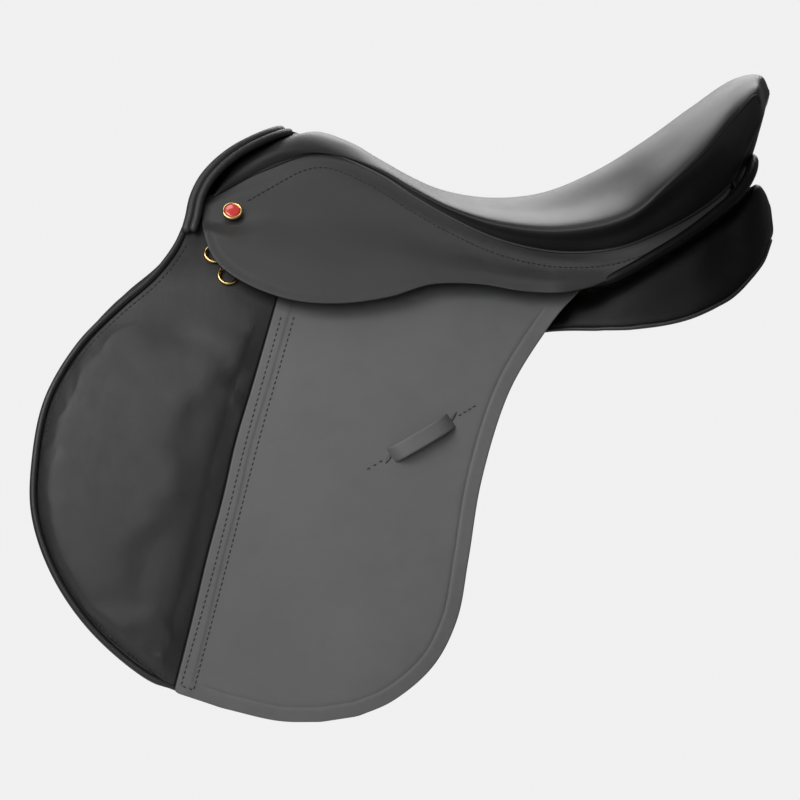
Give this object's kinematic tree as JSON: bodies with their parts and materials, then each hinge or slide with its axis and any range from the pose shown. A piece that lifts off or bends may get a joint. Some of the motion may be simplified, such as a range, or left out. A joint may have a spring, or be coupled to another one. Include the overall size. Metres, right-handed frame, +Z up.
{
  "type": "english saddle",
  "caption": "General purpose English saddle: wood tree, deep seat, stuffed panels, hinged flaps and skirts, stirrup bars, girth billets and dee rings.",
  "frame": {"origin": "on the middle plane, at the roof of the gullet under the deepest point of the seat, where the saddle bears on the horse's back", "axes": "+X runs from the pommel (front) to the cantle (back), +Y to the off (right) side, +Z up"},
  "size_m": [0.5932, 0.4042, 0.486],
  "materials": {
    "flap_leather": "smooth firm bridle leather, satin, dyed black",
    "soft_leather": "soft padded leather with a fine grain, low sheen, black",
    "seat_leather": "smooth seat leather, satin with a polished bloom, black",
    "panel_leather": "smooth soft panel leather, semi-gloss, black",
    "brass": "polished brass",
    "bar_steel": "brushed stainless steel",
    "spring_steel": "blued spring steel",
    "tree_wood": "laminated beech, sealed",
    "webbing": "coarse woven tree web",
    "seat_foam": "latex foam under felt"
  },
  "bodies": {
    "tree": {"tree_frame": "tree_wood", "gullet_plate": "spring_steel", "seat_web_long": "webbing", "seat_web_cross": "webbing", "seat_foam": "seat_foam", "seat_cover": "seat_leather", "head_facing": "panel_leather", "pommel_roll": "soft_leather", "pommel_piping": "soft_leather", "cantle_facing": "panel_leather", "cantle_piping": "soft_leather", "near_tree_spring": "spring_steel", "near_panel": "panel_leather", "near_panel_top_roll": "panel_leather", "near_sweat_flap": "flap_leather", "near_girth_web": "webbing", "near_flap_head": "flap_leather", "near_skirt_head": "flap_leather", "near_stirrup_bar": "bar_steel", "near_bar_rivet_front": "bar_steel", "near_bar_rivet_rear": "bar_steel", "near_catch_pin": "bar_steel", "near_dee_staple_upper": "brass", "near_dee_staple_lower": "brass", "near_skirt_nail": "brass", "off_tree_spring": "spring_steel", "off_panel": "panel_leather", "off_panel_top_roll": "panel_leather", "off_sweat_flap": "flap_leather", "off_girth_web": "webbing", "off_flap_head": "flap_leather", "off_skirt_head": "flap_leather", "off_stirrup_bar": "bar_steel", "off_bar_rivet_front": "bar_steel", "off_bar_rivet_rear": "bar_steel", "off_catch_pin": "bar_steel", "off_dee_staple_upper": "brass", "off_dee_staple_lower": "brass", "off_skirt_nail": "brass"},
    "near_flap": {"near_flap": "flap_leather", "near_knee_pad": "soft_leather", "near_keeper": "flap_leather"},
    "near_skirt": {"near_skirt": "flap_leather"},
    "near_safety_catch": {"near_safety_catch": "bar_steel"},
    "near_billet_front": {"near_billet_front": "flap_leather"},
    "near_billet_middle": {"near_billet_middle": "flap_leather"},
    "near_billet_rear": {"near_billet_rear": "flap_leather"},
    "near_dee_upper": {"near_dee_ring_upper": "brass"},
    "near_dee_lower": {"near_dee_ring_lower": "brass"},
    "off_flap": {"off_flap": "flap_leather", "off_knee_pad": "soft_leather", "off_keeper": "flap_leather"},
    "off_skirt": {"off_skirt": "flap_leather"},
    "off_safety_catch": {"off_safety_catch": "bar_steel"},
    "off_billet_front": {"off_billet_front": "flap_leather"},
    "off_billet_middle": {"off_billet_middle": "flap_leather"},
    "off_billet_rear": {"off_billet_rear": "flap_leather"},
    "off_dee_upper": {"off_dee_ring_upper": "brass"},
    "off_dee_lower": {"off_dee_ring_lower": "brass"}
  },
  "joints": [
    {"name": "near_flap_lift", "type": "hinge", "parent": "tree", "child": "near_flap", "pos_m": [-0.15, -0.1325, -0.038], "axis": [-1, 0, 0], "range_deg": [0, 70]},
    {"name": "near_skirt_lift", "type": "hinge", "parent": "tree", "child": "near_skirt", "pos_m": [-0.24, -0.1005, 0.031], "axis": [-0.9834, 0.1019, 0.1502], "range_deg": [0, 60]},
    {"name": "near_catch_flip", "type": "hinge", "parent": "tree", "child": "near_safety_catch", "pos_m": [-0.133, -0.10927, 0.00566], "axis": [0, -0.8575, 0.5145], "range_deg": [0, 90]},
    {"name": "near_billet_front_swing", "type": "hinge", "parent": "tree", "child": "near_billet_front", "pos_m": [-0.112, -0.11187, -0.03], "axis": [0, -0.8885, 0.4588], "range_deg": [-2, 2]},
    {"name": "near_billet_middle_swing", "type": "hinge", "parent": "tree", "child": "near_billet_middle", "pos_m": [-0.079, -0.11187, -0.03], "axis": [0, -0.8885, 0.4588], "range_deg": [-2, 2]},
    {"name": "near_billet_rear_swing", "type": "hinge", "parent": "tree", "child": "near_billet_rear", "pos_m": [-0.046, -0.11187, -0.03], "axis": [0, -0.8885, 0.4588], "range_deg": [-2, 2]},
    {"name": "near_dee_upper_swing", "type": "hinge", "parent": "tree", "child": "near_dee_upper", "pos_m": [-0.2235, -0.09424, 0.01804], "axis": [-1, 0, 0], "range_deg": [0, 12]},
    {"name": "near_dee_lower_swing", "type": "hinge", "parent": "tree", "child": "near_dee_lower", "pos_m": [-0.211, -0.10211, 0.00591], "axis": [-1, 0, 0], "range_deg": [0, 12]},
    {"name": "off_flap_lift", "type": "hinge", "parent": "tree", "child": "off_flap", "pos_m": [-0.15, 0.1325, -0.038], "axis": [1, 0, 0], "range_deg": [0, 70]},
    {"name": "off_skirt_lift", "type": "hinge", "parent": "tree", "child": "off_skirt", "pos_m": [-0.24, 0.1005, 0.031], "axis": [0.9834, 0.1019, -0.1502], "range_deg": [0, 60]},
    {"name": "off_catch_flip", "type": "hinge", "parent": "tree", "child": "off_safety_catch", "pos_m": [-0.133, 0.10927, 0.00566], "axis": [0, -0.8575, -0.5145], "range_deg": [0, 90]},
    {"name": "off_billet_front_swing", "type": "hinge", "parent": "tree", "child": "off_billet_front", "pos_m": [-0.112, 0.11187, -0.03], "axis": [0, 0.8885, 0.4588], "range_deg": [-2, 2]},
    {"name": "off_billet_middle_swing", "type": "hinge", "parent": "tree", "child": "off_billet_middle", "pos_m": [-0.079, 0.11187, -0.03], "axis": [0, 0.8885, 0.4588], "range_deg": [-2, 2]},
    {"name": "off_billet_rear_swing", "type": "hinge", "parent": "tree", "child": "off_billet_rear", "pos_m": [-0.046, 0.11187, -0.03], "axis": [0, 0.8885, 0.4588], "range_deg": [-2, 2]},
    {"name": "off_dee_upper_swing", "type": "hinge", "parent": "tree", "child": "off_dee_upper", "pos_m": [-0.2235, 0.09424, 0.01804], "axis": [1, 0, 0], "range_deg": [0, 12]},
    {"name": "off_dee_lower_swing", "type": "hinge", "parent": "tree", "child": "off_dee_lower", "pos_m": [-0.211, 0.10211, 0.00591], "axis": [1, 0, 0], "range_deg": [0, 12]}
  ]
}
